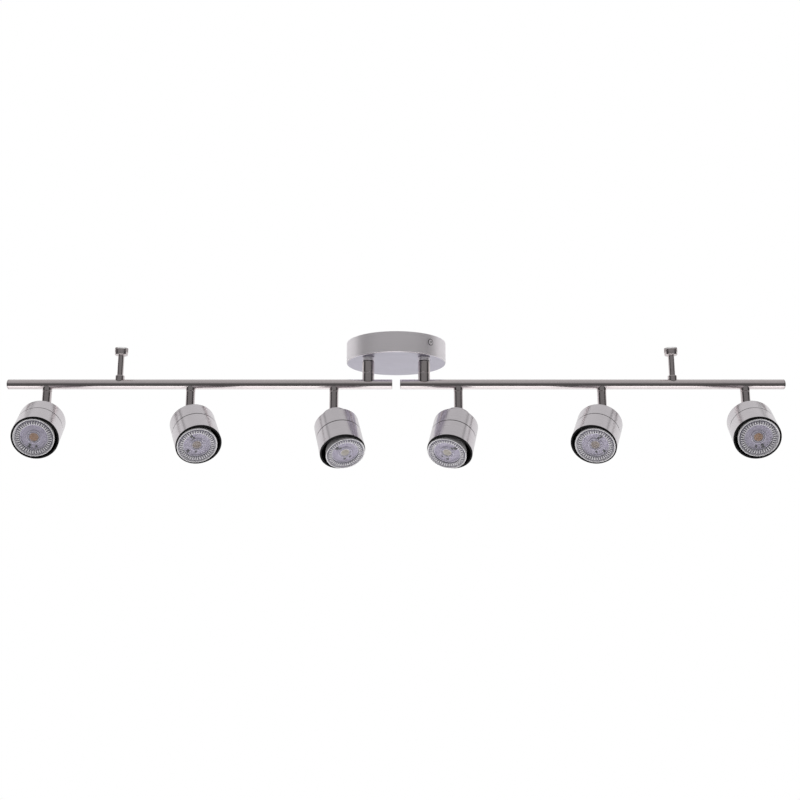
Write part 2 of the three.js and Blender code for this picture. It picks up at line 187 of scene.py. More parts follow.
def turned(corners, sides=64, closed=False):
    """A body turned about Z from (radius, height, edge) corners; closed makes a ring."""
    line = rounded(corners, closed)
    points, rings = [], []
    for radius, height in line:
        if radius < 1e-6:
            rings.append([len(points)] * sides)
            points.append((0, 0, height))
            continue
        rings.append(list(range(len(points), len(points) + sides)))
        for i in range(sides):
            angle = 2 * math.pi * i / sides
            points.append((radius * math.cos(angle), radius * math.sin(angle), height))
    faces = []
    for a, b in zip(rings, rings[1:] + (rings[:1] if closed else [])):
        for i in range(sides):
            j = (i + 1) % sides
            corners_of_face = dict.fromkeys((a[i], a[j], b[j], b[i]))
            if len(corners_of_face) > 2:
                faces.append(tuple(corners_of_face))
    return points, faces


def extruded(outline, low, high):
    """A prism from a flat outline of (x, y) points, between two heights."""
    count = len(outline)
    points = [(x, y, z) for z in (low, high) for x, y in outline]
    faces = [tuple(range(count)), tuple(range(count, 2 * count))]
    for i in range(count):
        j = (i + 1) % count
        faces.append((i, j, count + j, count + i))
    return points, faces


def block(size, middle):
    x, y, z = (s / 2 for s in size)
    outline = [(-x, -y), (x, -y), (x, y), (-x, y)]
    return moved(extruded(outline, -z, z), at(*middle))


def rod(radius, low, high, axis="Z", middle=(0, 0, 0), sides=48):
    """A plain round body between two heights, along Z or X, mostly a tool for cutting."""
    shape = turned([(0, low, 0), (radius, low, 0), (radius, high, 0), (0, high, 0)], sides)
    lay = turn_about("Y", 90) if axis == "X" else Matrix.Identity(4)
    return moved(shape, at(*middle) @ lay)


def eye_plate(radius, thickness, towards):
    """A plate across X, round at the origin and straight-sided towards a height on Z."""
    steps = 24
    turn = 0 if towards < 0 else math.pi
    outline = []
    for i in range(steps + 1):
        angle = turn + math.pi * i / steps
        outline.append((radius * math.cos(angle), radius * math.sin(angle)))
    side = -radius if towards < 0 else radius
    outline += [(side, towards), (-side, towards)]
    # the outline's x and y become Y and Z
    lay = Matrix(((0, 0, 1, 0), (1, 0, 0, 0), (0, 1, 0, 0), (0, 0, 0, 1)))
    return moved(extruded(outline, -thickness / 2, thickness / 2), lay)


def moved(shape, matrix):
    points, faces = shape
    return [tuple(matrix @ Vector(p)) for p in points], faces


def together(*shapes):
    points, faces = [], []
    for more_points, more_faces in shapes:
        start = len(points)
        points += more_points
        faces += [tuple(start + i for i in face) for face in more_faces]
    return points, faces


def turn_about(axis, degrees):
    return Matrix.Rotation(math.radians(degrees), 4, axis)


def at(x=0.0, y=0.0, z=0.0):
    return Matrix.Translation((x, y, z))


# ---------- meshes and pieces ----------

def mended(mesh, bevel=0.0):
    """The mesh with doubled points merged and its faces outwards; bevel softens plates and blocks."""
    work = bmesh.new()
    work.from_mesh(mesh)
    bmesh.ops.remove_doubles(work, verts=work.verts, dist=1e-4)
    bmesh.ops.recalc_face_normals(work, faces=work.faces)
    if bevel > 0:
        hard = [e for e in work.edges if e.is_manifold and e.calc_face_angle() > 0.6]
        bmesh.ops.bevel(work, geom=hard, offset=bevel, segments=2, profile=0.5,
                        affect="EDGES", clamp_overlap=True)
    work.to_mesh(mesh)
    work.free()
    return mesh


def closed_mesh(name, shape, bevel=0.0):
    points, faces = shape
    mesh = bpy.data.meshes.new(name)
    mesh.from_pydata(points, [], faces)
    return mended(mesh, bevel)


def shape_of(mesh):
    return [tuple(v.co) for v in mesh.vertices], [tuple(f.vertices) for f in mesh.polygons]


def evaluated(holder, name):
    """A plain mesh of an object as its modifiers leave it; the object is removed."""
    graph = bpy.context.evaluated_depsgraph_get()
    mesh = bpy.data.meshes.new_from_object(holder.evaluated_get(graph))
    mesh.name = name
    holder.modifiers.clear()
    bpy.data.objects.remove(holder)
    return mesh


def linked(name, mesh):
    holder = bpy.data.objects.new(name, mesh)
    bpy.context.scene.collection.objects.link(holder)
    return holder


def cut_mesh(mesh, tools):
    """The mesh with each tool shape taken out of it."""
    holder = linked("blank", mesh)
    cutter = linked("cutter", closed_mesh("cutter", together(*tools)))
    step = holder.modifiers.new("cut", "BOOLEAN")
    step.operation = "DIFFERENCE"
    step.solver = "EXACT"
    step.use_self = True
    step.object = cutter
    result = evaluated(holder, mesh.name)
    bpy.data.objects.remove(cutter)
    return result


def piece(name, body, mesh, finishes, place=None, stands_for=(), pick=None):
    """Places a mesh that was made in its own frame, and rides it on a body.

    pick chooses each face's finish from its normal and middle in the piece's own frame."""
    place = place or Matrix.Identity(4)
    finishes = finishes if isinstance(finishes, list) else [finishes]
    mesh.name = name
    mesh.materials.clear()
    for finish in finishes:
        mesh.materials.append(finish)
    if pick:
        for face in mesh.polygons:
            face.material_index = pick(face.normal, face.center)
    mesh.shade_smooth()
    mesh.set_sharp_from_angle(angle=math.radians(34))
    own = mesh.attributes.new("own", "FLOAT_VECTOR", "POINT")
    spots = np.empty(len(mesh.vertices) * 3, np.float32)
    mesh.vertices.foreach_get("co", spots)
    own.data.foreach_set("vector", spots)
    mesh.transform(Matrix.Scale(MM, 4) @ place)
    mesh.update()
    made = linked(name, mesh)
    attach(made, body)
    if stands_for:
        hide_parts(*stands_for)


# ---------- shader groups shared by several finishes ----------

def shader_group(name, inputs, outputs):
    made = bpy.data.node_groups.new(name, "ShaderNodeTree")
    for label, kind, value in inputs:
        socket = made.interface.new_socket(label, in_out="INPUT", socket_type=kind)
        if value is not None:
            socket.default_value = value
    for label, kind in outputs:
        made.interface.new_socket(label, in_out="OUTPUT", socket_type=kind)
    return made, made.nodes.new("NodeGroupInput"), made.nodes.new("NodeGroupOutput")


def fed(tree, node, values):
    """The node with its first inputs set to numbers or linked to sockets."""
    for socket, value in zip(node.inputs, values):
        if isinstance(value, (int, float)):
            socket.default_value = value
        else:
            tree.links.new(value, socket)
    return node


def math_node(tree, operation, *values):
    node = tree.nodes.new("ShaderNodeMath")
    node.operation = operation
    return fed(tree, node, values).outputs[0]


def combine_xyz(tree, x, y, z):
    return fed(tree, tree.nodes.new("ShaderNodeCombineXYZ"), (x, y, z)).outputs[0]


def separate_xyz(tree, vector):
    node = tree.nodes.new("ShaderNodeSeparateXYZ")
    tree.links.new(vector, node.inputs[0])
    return node.outputs


def from_axis(tree, x, y):
    x_squared = math_node(tree, "POWER", x, 2.0)
    y_squared = math_node(tree, "POWER", y, 2.0)
    return math_node(tree, "SQRT", math_node(tree, "ADD", x_squared, y_squared))


def noise_node(tree, vector, scale, detail, rough=0.6):
    node = tree.nodes.new("ShaderNodeTexNoise")
    node.inputs["Scale"].default_value = scale
    node.inputs["Detail"].default_value = detail
    node.inputs["Roughness"].default_value = rough
    tree.links.new(vector, node.inputs["Vector"])
    return node.outputs["Fac"]


def range_node(tree, value, low, high, to_low, to_high):
    node = tree.nodes.new("ShaderNodeMapRange")
    for label, number in (("From Min", low), ("From Max", high), ("To Min", to_low), ("To Max", to_high)):
        node.inputs[label].default_value = number
    tree.links.new(value, node.inputs["Value"])
    return node.outputs["Result"]


def make_turned_lay():
    """Coordinates in which lines round the piece's own axis run level, on walls and flat ends alike."""
    group, start, end = shader_group(
        "turned lay", [("Own Place", "NodeSocketVector", None)], [("Lay", "NodeSocketVector")])
    x, y, z = separate_xyz(group, start.outputs[0])
    across = math_node(group, "ADD", z, from_axis(group, x, y))
    group.links.new(combine_xyz(group, x, y, across), end.inputs[0])
    return group


def make_satin_lines():
    """Fine brushed lines that are level in Z of the given coordinates, with slow drifts of tone."""
    inputs = [("Lay", "NodeSocketVector", None), ("Stretch", "NodeSocketFloat", 0.04)]
    group, start, end = shader_group(
        "satin lines", inputs, [("Lines", "NodeSocketFloat"), ("Drift", "NodeSocketFloat")])
    x, y, z = separate_xyz(group, start.outputs["Lay"])
    along_x = math_node(group, "MULTIPLY", x, start.outputs["Stretch"])
    along_y = math_node(group, "MULTIPLY", y, start.outputs["Stretch"])
    fine = noise_node(group, combine_xyz(group, along_x, along_y, z), 1.1, 6.0, 0.75)
    group.links.new(fine, end.inputs["Lines"])
    drift = noise_node(group, start.outputs["Lay"], 0.03, 2.0)
    group.links.new(drift, end.inputs["Drift"])
    return group


def make_handling():
    """Soft smudges of handling and dust, from 0 to 1."""
    inputs = [("Place", "NodeSocketVector", None), ("Size", "NodeSocketFloat", 40.0)]
    group, start, end = shader_group("handling", inputs, [("Smudge", "NodeSocketFloat")])
    cloud = noise_node(group, start.outputs["Place"], 40.0, 5.0, 0.65)
    group.links.new(start.outputs["Size"], cloud.node.inputs["Scale"])
    group.links.new(range_node(group, cloud, 0.42, 0.7, 0.0, 1.0), end.inputs[0])
    return group


def use_group(tree, group, **values):
    node = tree.nodes.new("ShaderNodeGroup")
    node.node_tree = group
    for label, value in values.items():
        socket = node.inputs[label.replace("_", " ")]
        if isinstance(value, (int, float)):
            socket.default_value = value
        else:
            tree.links.new(value, socket)
    return node


TURNED_LAY = make_turned_lay()
SATIN_LINES = make_satin_lines()
HANDLING = make_handling()


# ---------- finishes ----------

def blank_finish(name, **constants):
    """A new material and its Principled shader, with constants set on the shader's own sockets."""
    made = bpy.data.materials.new(name)
    made.use_nodes = True
    shader = made.node_tree.nodes["Principled BSDF"]
    for label, value in constants.items():
        shader.inputs[label.replace("_", " ")].default_value = value
    return made, made.node_tree, shader


def own_place(tree):
    node = tree.nodes.new("ShaderNodeAttribute")
    node.attribute_name = "own"
    return node.outputs["Vector"]


def object_place(tree):
    return tree.nodes.new("ShaderNodeTexCoord").outputs["Object"]


def mixed(tree, share, first, second):
    node = tree.nodes.new("ShaderNodeMix")
    node.data_type = "RGBA"
    node.inputs["A"].default_value = (*first, 1)
    node.inputs["B"].default_value = (*second, 1)
    tree.links.new(share, node.inputs["Factor"])
    return node.outputs["Result"]


def bumped(tree, shader, height, distance, strength=1.0):
    node = tree.nodes.new("ShaderNodeBump")
    node.inputs["Distance"].default_value = distance
    node.inputs["Strength"].default_value = strength
    tree.links.new(height, node.inputs["Height"])
    tree.links.new(node.outputs["Normal"], shader.inputs["Normal"])


def shaded(tone, amount):
    return tuple(c * amount for c in tone)


def brushed_metal(name, tone, contrast, smooth, rough, stretch=0.04, straight=False, spread=0.0,
                  metal=1.0):
    """Satin plating with lines round the piece, or straight along X; spread widens the gloss across them."""
    made, tree, shader = blank_finish(name, Metallic=metal, IOR=1.9, Anisotropic=spread,
                                      Anisotropic_Rotation=0.25)
    if spread > 0:
        round_about = tree.nodes.new("ShaderNodeTangent")
        round_about.direction_type = "RADIAL"
        round_about.axis = "Z"
        tree.links.new(round_about.outputs[0], shader.inputs["Tangent"])
    if straight:
        node = tree.nodes.new("ShaderNodeMapping")
        node.inputs["Rotation"].default_value = (math.pi / 2, 0, 0)
        tree.links.new(own_place(tree), node.inputs["Vector"])
        lay = node.outputs["Vector"]
    else:
        lay = use_group(tree, TURNED_LAY, Own_Place=own_place(tree)).outputs[0]
    lines = use_group(tree, SATIN_LINES, Lay=lay, Stretch=stretch)
    smudge = use_group(tree, HANDLING, Place=object_place(tree), Size=45.0).outputs[0]
    share = range_node(tree, lines.outputs["Lines"], 0.3, 0.7, 0.0, 1.0)
    drifted = math_node(tree, "MULTIPLY_ADD", lines.outputs["Drift"], 0.5, -0.25)
    share = math_node(tree, "ADD", share, drifted)
    colour = mixed(tree, share, shaded(tone, 1 - contrast), shaded(tone, 1 + contrast))
    tree.links.new(colour, shader.inputs["Base Color"])
    roughness = range_node(tree, lines.outputs["Lines"], 0.3, 0.7, smooth, rough)
    smudged = math_node(tree, "MULTIPLY_ADD", smudge, 0.05, roughness)
    tree.links.new(smudged, shader.inputs["Roughness"])
    bumped(tree, shader, lines.outputs["Lines"], 0.000003)
    return made


def moulded(name, tone, gloss, grain, tint, **constants):
    """Moulded plastic or ceramic: a fine grain and a slow change of tone."""
    made, tree, shader = blank_finish(name, **constants)
    smudge = use_group(tree, HANDLING, Place=object_place(tree), Size=grain / 8).outputs[0]
    fine = noise_node(tree, object_place(tree), grain, 4.0)
    tree.links.new(mixed(tree, smudge, tone, tint), shader.inputs["Base Color"])
    tree.links.new(range_node(tree, fine, 0.3, 0.7, gloss, gloss + 0.15), shader.inputs["Roughness"])
    bumped(tree, shader, fine, 0.00003, 0.6)
    return made


def make_lens_finish():
    """Thin clear plastic with a faint haze."""
    made, tree, shader = blank_finish("clear lens", IOR=1.49)
    fine = noise_node(tree, object_place(tree), 900.0, 3.0)
    tree.links.new(mixed(tree, fine, (0.80, 0.80, 0.88), (0.90, 0.90, 0.94)), shader.inputs["Base Color"])
    tree.links.new(range_node(tree, fine, 0.3, 0.7, 0.04, 0.10), shader.inputs["Roughness"])
    tree.links.new(range_node(tree, fine, 0.3, 0.7, 0.05, 0.09), shader.inputs["Alpha"])
    bumped(tree, shader, fine, 0.00002, 0.5)
    return made


def phosphor(name, middle, edge):
    """The lamp's chip: a soft disc of colour, paler at its edge."""
    made, tree, shader = blank_finish(name)
    x, y = separate_xyz(tree, own_place(tree))[:2]
    share = range_node(tree, from_axis(tree, x, y), CHIP_R - 1.3, CHIP_R - 0.4, 0.0, 1.0)
    tree.links.new(mixed(tree, share, middle, edge), shader.inputs["Base Color"])
    fine = noise_node(tree, object_place(tree), 3000.0, 3.0)
    tree.links.new(range_node(tree, fine, 0.3, 0.7, 0.35, 0.55), shader.inputs["Roughness"])
    bumped(tree, shader, fine, 0.00003, 0.5)
    return made


NICKEL_TONE = (0.67, 0.635, 0.66)
NICKEL = brushed_metal("satin nickel", NICKEL_TONE, 0.06, 0.16, 0.26)
BAR_NICKEL = brushed_metal("satin nickel bars", (0.60, 0.545, 0.55), 0.04, 0.15, 0.22)
# The canopy's side, its screws and collars: the same nickel as the heads, painted lighter with a brighter
# tone and a half-metal finish, which stands in for the light they get.
COVER_SIDE_PAINTED_LIGHT = brushed_metal("brushed nickel side painted lighter", (0.97, 0.925, 0.96), 0.03, 0.42, 0.54, stretch=0.02,
                           spread=0.8, metal=0.5)
# The canopy's flat underside: the same nickel, painted darker for the shade on it.
COVER_FLAT_PAINTED_SHADE = brushed_metal("brushed nickel flat painted darker", (0.44, 0.42, 0.49), 0.14, 0.3, 0.4, stretch=0.03,
                           straight=True)
ZINC = brushed_metal("zinc steel", (0.55, 0.56, 0.58), 0.14, 0.3, 0.45)
BRASS = brushed_metal("terminal brass", (0.72, 0.55, 0.28), 0.1, 0.25, 0.35)
# Black plastic of the mouth ring and black paint inside the shells; also used as painted shade in the seam
# groove, the swivel neck and the screw groove.
BLACK_AND_PAINTED_SHADE = moulded("black plastic and painted shade", (0.004, 0.004, 0.005), 0.5, 1500.0, (0.008, 0.007, 0.007),
                Specular_IOR_Level=0.15)
CERAMIC = moulded("holder ceramic", (0.72, 0.68, 0.60), 0.5, 1200.0, (0.64, 0.60, 0.52))
LAMP_WHITE = moulded("lamp rim plastic", (0.92, 0.90, 0.92), 0.3, 1200.0, (0.84, 0.82, 0.86))
BOARD = moulded("lamp board", (0.47, 0.425, 0.55), 0.25, 1500.0, (0.37, 0.33, 0.44))
# The board's edge down in the cup under the ribs: the board's colour painted darker for the shade there.
BOARD_SHADE = moulded("lamp board painted shade", (0.15, 0.135, 0.19), 0.4, 1500.0, (0.11, 0.10, 0.14))
LENS_RINGS = moulded("lens rings", (0.70, 0.66, 0.77), 0.3, 1200.0, (0.60, 0.56, 0.67))
TERMINAL = moulded("terminal plastic", (0.78, 0.76, 0.70), 0.4, 1200.0, (0.70, 0.68, 0.62))
# Black of the small parts on the lamp boards; also used as painted shade in the screws' cross recesses.
DARK_PARTS_AND_RECESS_SHADE = moulded("small part black and painted recess shade", (0.02, 0.018, 0.02), 0.6, 2500.0, (0.05, 0.045, 0.05))
LENS = make_lens_finish()


# ---------- Geometry Nodes for what repeats ----------

def node_tree(name, inputs):
    """A Geometry Nodes tree with named inputs, and its last two nodes ready to be fed."""
    made = bpy.data.node_groups.new(name, "GeometryNodeTree")
    for label, kind, value in [*inputs, ("Finish", "NodeSocketMaterial", None)]:
        socket = made.interface.new_socket(label, in_out="INPUT", socket_type=kind)
        if value is not None:
            socket.default_value = value
    made.interface.new_socket("Geometry", in_out="OUTPUT", socket_type="NodeSocketGeometry")
    start = made.nodes.new("NodeGroupInput")
    real = made.nodes.new("GeometryNodeRealizeInstances")
    painted = made.nodes.new("GeometryNodeSetMaterial")
    end = made.nodes.new("NodeGroupOutput")
    made.links.new(real.outputs[0], painted.inputs["Geometry"])
    made.links.new(start.outputs["Finish"], painted.inputs["Material"])
    made.links.new(painted.outputs[0], end.inputs[0])
    return made, start, real


def grown(tree, name, finish, **values):
    """A plain mesh from a tree, with its named inputs set first."""
    holder = linked(name, bpy.data.meshes.new(name))
    step = holder.modifiers.new("grow", "NODES")
    step.node_group = tree
    sockets = {s.name: s.identifier for s in tree.interface.items_tree if s.in_out == "INPUT"}
    for label, value in {**values, "Finish": finish}.items():
        step[sockets[label.replace("_", " ")]] = value
    return evaluated(holder, name)


def make_ring_of_ridges():
    """Upright or lying ridges, evenly spaced on a circle about Z."""
    inputs = [
        ("Count", "NodeSocketInt", 60),
        ("Radius", "NodeSocketFloat", 19.0),
        ("Height", "NodeSocketFloat", 0.0),
        ("Ridge Size", "NodeSocketVector", (1, 1, 1)),
    ]
    tree, start, real = node_tree("ring of ridges", inputs)
    ring = tree.nodes.new("GeometryNodeMeshCircle")
    tree.links.new(start.outputs["Count"], ring.inputs["Vertices"])
    tree.links.new(start.outputs["Radius"], ring.inputs["Radius"])
    ridge = tree.nodes.new("GeometryNodeMeshCone")
    ridge.inputs["Vertices"].default_value = 4
    ridge.inputs["Radius Top"].default_value = 0.35
    ridge.inputs["Radius Bottom"].default_value = math.sqrt(0.5)
    ridge.inputs["Depth"].default_value = 1.0
    squared = tree.nodes.new("GeometryNodeTransform")
    squared.inputs["Rotation"].default_value = (0, 0, math.pi / 4)
    tree.links.new(ridge.outputs["Mesh"], squared.inputs["Geometry"])
    sized = tree.nodes.new("GeometryNodeTransform")
    tree.links.new(squared.outputs[0], sized.inputs["Geometry"])
    tree.links.new(start.outputs["Ridge Size"], sized.inputs["Scale"])
    facing = tree.nodes.new("FunctionNodeAlignRotationToVector")
    facing.axis = "X"
    facing.pivot_axis = "Z"
    spot = tree.nodes.new("GeometryNodeInputPosition")
    tree.links.new(spot.outputs[0], facing.inputs["Vector"])
    placed = tree.nodes.new("GeometryNodeInstanceOnPoints")
    tree.links.new(ring.outputs["Mesh"], placed.inputs["Points"])
    tree.links.new(sized.outputs[0], placed.inputs["Instance"])
    tree.links.new(facing.outputs[0], placed.inputs["Rotation"])
    raised = tree.nodes.new("GeometryNodeTransform")
    tree.links.new(placed.outputs[0], raised.inputs["Geometry"])
    tree.links.new(combine_xyz(tree, 0, 0, start.outputs["Height"]), raised.inputs["Translation"])
    tree.links.new(raised.outputs[0], real.inputs[0])
    return tree


def make_bar_tube():
    """A tube along Z from 0: its wall's section swept round a circle."""
    inputs = [
        ("Length", "NodeSocketFloat", 100.0),
        ("Middle Radius", "NodeSocketFloat", 6.0),
        ("Wall", "NodeSocketFloat", 1.0),
        ("Sides", "NodeSocketInt", 64),
    ]
    tree, start, real = node_tree("bar tube", inputs)
    ring = tree.nodes.new("GeometryNodeCurvePrimitiveCircle")
    tree.links.new(start.outputs["Sides"], ring.inputs["Resolution"])
    tree.links.new(start.outputs["Middle Radius"], ring.inputs["Radius"])
    section = tree.nodes.new("GeometryNodeCurvePrimitiveQuadrilateral")
    tree.links.new(start.outputs["Wall"], section.inputs["Width"])
    tree.links.new(start.outputs["Length"], section.inputs["Height"])
    swept = tree.nodes.new("GeometryNodeCurveToMesh")
    tree.links.new(ring.outputs[0], swept.inputs["Curve"])
    tree.links.new(section.outputs[0], swept.inputs["Profile Curve"])
    raised = tree.nodes.new("GeometryNodeTransform")
    tree.links.new(swept.outputs[0], raised.inputs["Geometry"])
    half = math_node(tree, "DIVIDE", start.outputs["Length"], 2.0)
    tree.links.new(combine_xyz(tree, 0, 0, half), raised.inputs["Translation"])
    tree.links.new(raised.outputs[0], real.inputs[0])
    return tree


RING_OF_RIDGES = make_ring_of_ridges()
BAR_TUBE = make_bar_tube()


# ---------- canopy ----------

def make_canopy_cover():
    """A shallow cup, with holes for the two necks and the two side screws."""
    inner = CANOPY_R - CANOPY_WALL
    cup = turned([
        (0, -CANOPY_H, 0), (CANOPY_R, -CANOPY_H, CANOPY_EDGE), (CANOPY_R, 0, 0.4), (inner, 0, 0.4),
        (inner, CANOPY_FLOOR, 1.0), (0, CANOPY_FLOOR, 0),
    ], sides=160)
    tools = []
    for side in (-1, 1):
        tools.append(rod(NIPPLE_R + GAP, -CANOPY_H - 1, CANOPY_FLOOR + 1, middle=(side * POST_X, POST_Y, 0)))
    hole = rod(COVER_SCREW_HOLE_R, -CANOPY_R - 1, CANOPY_R + 1, axis="X", middle=(0, 0, -COVER_SCREW_DROP))
    tools.append(moved(hole, turn_about("Z", STRAP_ANGLE)))
    mesh = cut_mesh(closed_mesh("canopy", cup), tools)

    def side_flat_rim_or_inside(normal, middle):
        spread = math.hypot(middle.x, middle.y)
        if spread < inner + 0.01 and middle.z > -CANOPY_H + CANOPY_WALL / 2:
            return 3
        if normal.z < -0.98:
            return 1
        return 2 if normal.z < -0.3 and middle.z < -CANOPY_H / 2 else 0

    # One nickel cup: its side is painted lighter and its flat underside painted darker, for the light and
    # shade on them; the rim keeps the plain nickel.
    piece("canopy_shell", "root", mesh, [COVER_SIDE_PAINTED_LIGHT, COVER_FLAT_PAINTED_SHADE, NICKEL, ZINC],
          stands_for=["canopy_cover"], pick=side_flat_rim_or_inside)


def make_bracket():
    """A slotted strap, with a turned-down tab at each end for a cover screw."""
    strap = extruded([(-STRAP_REACH, -STRAP_WIDTH / 2), (STRAP_REACH, -STRAP_WIDTH / 2),
                      (STRAP_REACH, STRAP_WIDTH / 2), (-STRAP_REACH, STRAP_WIDTH / 2)], -STRAP_THICK, 0)
    slots, tabs = [], []
    for side in (-1, 1):
        for x in STRAP_SLOTS_AT:
            slots.append(block((*STRAP_SLOT, 3 * STRAP_THICK), (side * x, 0, 0)))
        tabs.append(block((STRAP_THICK, STRAP_WIDTH, STRAP_TAB - STRAP_THICK + 0.02),
                          (side * (STRAP_REACH - STRAP_THICK / 2), 0, -(STRAP_TAB + STRAP_THICK) / 2 + 0.01)))
    hole = rod(COVER_SCREW_HOLE_R, -CANOPY_R, CANOPY_R, axis="X", middle=(0, 0, -COVER_SCREW_DROP))
    slotted = cut_mesh(closed_mesh("strap", strap), slots)
    drilled = cut_mesh(closed_mesh("tabs", together(*tabs)), [hole])
    whole = together(shape_of(slotted), shape_of(drilled))
    piece("mounting_strap", "root", closed_mesh("strap", whole, bevel=0.25), ZINC,
          place=turn_about("Z", STRAP_ANGLE), stands_for=["ceiling_bracket"])


def make_cover_screws():
    """A cross-headed screw with a raised ring round its head, on each side of the canopy."""
    seat = CANOPY_R + GAP
    top = seat + 1.4
    groove, groove_r = seat + 0.15, COVER_SCREW_RING_R - 0.9
    tip, pitch = STRAP_REACH - 2 * STRAP_THICK, 0.8
    thread = []
    for i in range(9):
        thread += [(1.65, tip + i * pitch, 0), (COVER_SCREW_R, tip + (i + 0.5) * pitch, 0)]
    shape = turned([
        (0, tip, 0), *thread, (1.9, seat, 0), (COVER_SCREW_RING_R, seat, 0.1),
        (COVER_SCREW_RING_R, seat + 0.5, 0.3), (groove_r, seat + 0.5, 0.1), (groove_r, groove, 0),
        (COVER_SCREW_HEAD_R, groove, 0), (COVER_SCREW_HEAD_R, seat + 0.9, 0.3), (2.5, top, 0.4), (0, top, 0),
    ], sides=48)
    cross = [block((3.0, 0.8, 2.2), (0, 0, top)), block((0.8, 3.0, 2.2), (0, 0, top))]

    # The groove round the head is painted black and the cross recess dark: painted shade in these hollows.
    def shaded_groove_or_cross(normal, middle):
        spread = math.hypot(middle.x, middle.y)
        if seat + 0.1 < middle.z < seat + 0.48 and COVER_SCREW_HEAD_R - 0.2 < spread < groove_r + 0.1:
            return 1
        return 2 if spread < 1.6 and seat + 0.2 < middle.z < top - 0.1 else 0

    for end, turn in (("front", 0), ("back", 180)):
        mesh = cut_mesh(closed_mesh("screw", shape), cross)
        place = turn_about("Z", STRAP_ANGLE + turn) @ at(0, 0, -COVER_SCREW_DROP) @ turn_about("Y", 90)
        piece(f"{end}_thumb_screw", "root", mesh, [COVER_SIDE_PAINTED_LIGHT, BLACK_AND_PAINTED_SHADE, DARK_PARTS_AND_RECESS_SHADE], place=place,
              stands_for=[f"{end}_cover_screw"], pick=shaded_groove_or_cross)


def make_post_collars():
    """Each fixed collar and its threaded neck, with the washer and nut that hold it in the canopy."""
    neck_top = CANOPY_FLOOR + NIPPLE_RISE
    bore = SPIGOT_R + GAP
    washer_r = NIPPLE_R + 0.2
    floor = CANOPY_FLOOR + 0.05
    washer_top = floor + NECK_WASHER_T
    foot = washer_top + 0.1
    hexagon = [(NUT_R * math.cos(a * math.pi / 3), NUT_R * math.sin(a * math.pi / 3)) for a in range(6)]
    for name, side in (("left", -1), ("right", 1)):
        thread = []
        height = CANOPY_FLOOR + 0.4
        while height < neck_top - 1.0:
            thread += [(NIPPLE_R, height, 0), (NIPPLE_R - 0.45, height + 0.5, 0)]
            height += 1.0
        shape = turned([
            (bore, COLLAR_BOTTOM, 0.2), (POST_R, COLLAR_BOTTOM, 0.35), (POST_R, COLLAR_TOP, 0.3),
            (NIPPLE_R, COLLAR_TOP, 0), *thread, (NIPPLE_R - 0.3, neck_top, 0.2), (bore, neck_top, 0.2),
        ], sides=56, closed=True)
        place = at(side * POST_X, POST_Y)
        piece(f"{name}_canopy_collar", "root", closed_mesh("collar", shape), COVER_SIDE_PAINTED_LIGHT, place=place,
              stands_for=[f"{name}_post_collar"])
        nut = cut_mesh(closed_mesh("nut", extruded(hexagon, foot, foot + NUT_H), bevel=0.35),
                       [rod(NIPPLE_R + 0.05, floor, neck_top)])
        piece(f"{name}_neck_nut", "root", nut, ZINC, place=place)
        washer = turned([
            (washer_r, floor, 0.15), (NECK_WASHER_R, floor, 0.25), (NECK_WASHER_R, washer_top, 0.25),
            (washer_r, washer_top, 0.15),
        ], sides=48, closed=True)
        piece(f"{name}_neck_washer", "root", closed_mesh("washer", washer), ZINC, place=place)


def make_wiring_parts():
    """Three-way connector block and an earth screw, under the mounting strap."""
    strap = turn_about("Z", STRAP_ANGLE)
    under_strap = strap @ at(0, 0, -STRAP_THICK - TERMINAL_H / 2 - 0.4) @ turn_about("X", 180)
    rows = (-TERMINAL_ROW, TERMINAL_ROW)
    head = 6.4
    bodies, bores = [], []
    for i in (-1, 0, 1):
        x = i * TERMINAL_PITCH
        bodies.append(block((TERMINAL_PITCH, TERMINAL_LENGTH, TERMINAL_H), (x, 0, 0)))
        for y in rows:
            bodies.append(rod(TERMINAL_TOWER_R, 3.5, 8.2, middle=(x, y, 0), sides=32))
            bores.append(rod(TERMINAL_SCREW_R + 0.2, 4.6, 9.0, middle=(x, y, 0), sides=32))
    mesh = cut_mesh(closed_mesh("terminal", together(*bodies)), bores)
    piece("connector_block", "root", mesh, TERMINAL, place=under_strap)
    screw = turned([(0, 4.0, 0), (TERMINAL_SCREW_R, 4.0, 0.1), (TERMINAL_SCREW_R, head, 0.4), (0, head, 0)],
                   sides=32)
    for i in (-1, 0, 1):
        for j, y in enumerate(rows):
            mesh = cut_mesh(closed_mesh("screw", screw), [block((5, 0.6, 1.0), (0, 0, head))])
            piece(f"terminal_screw_{i + 2}_{j + 1}", "root", mesh, BRASS,
                  place=under_strap @ at(i * TERMINAL_PITCH, y, 0) @ turn_about("Z", 35 * i + 50 * j))
    foot, washer, head = -STRAP_THICK - 0.1, -2.9, -4.9
    earth = turned([(0, head, 0), (4.0, head, 0.5), (4.0, washer, 0.3), (5.2, washer, 0.2), (5.2, foot, 0.2),
                    (2.0, foot, 0), (2.0, 0, 0.2), (0, 0, 0)], sides=40)
    mesh = cut_mesh(closed_mesh("earth", earth), [block((9, 1.0, 1.6), (0, 0, head))])
    piece("earth_screw", "root", mesh, BRASS, place=strap @ at(31.5, 0, 0))


# ---------- arms ----------

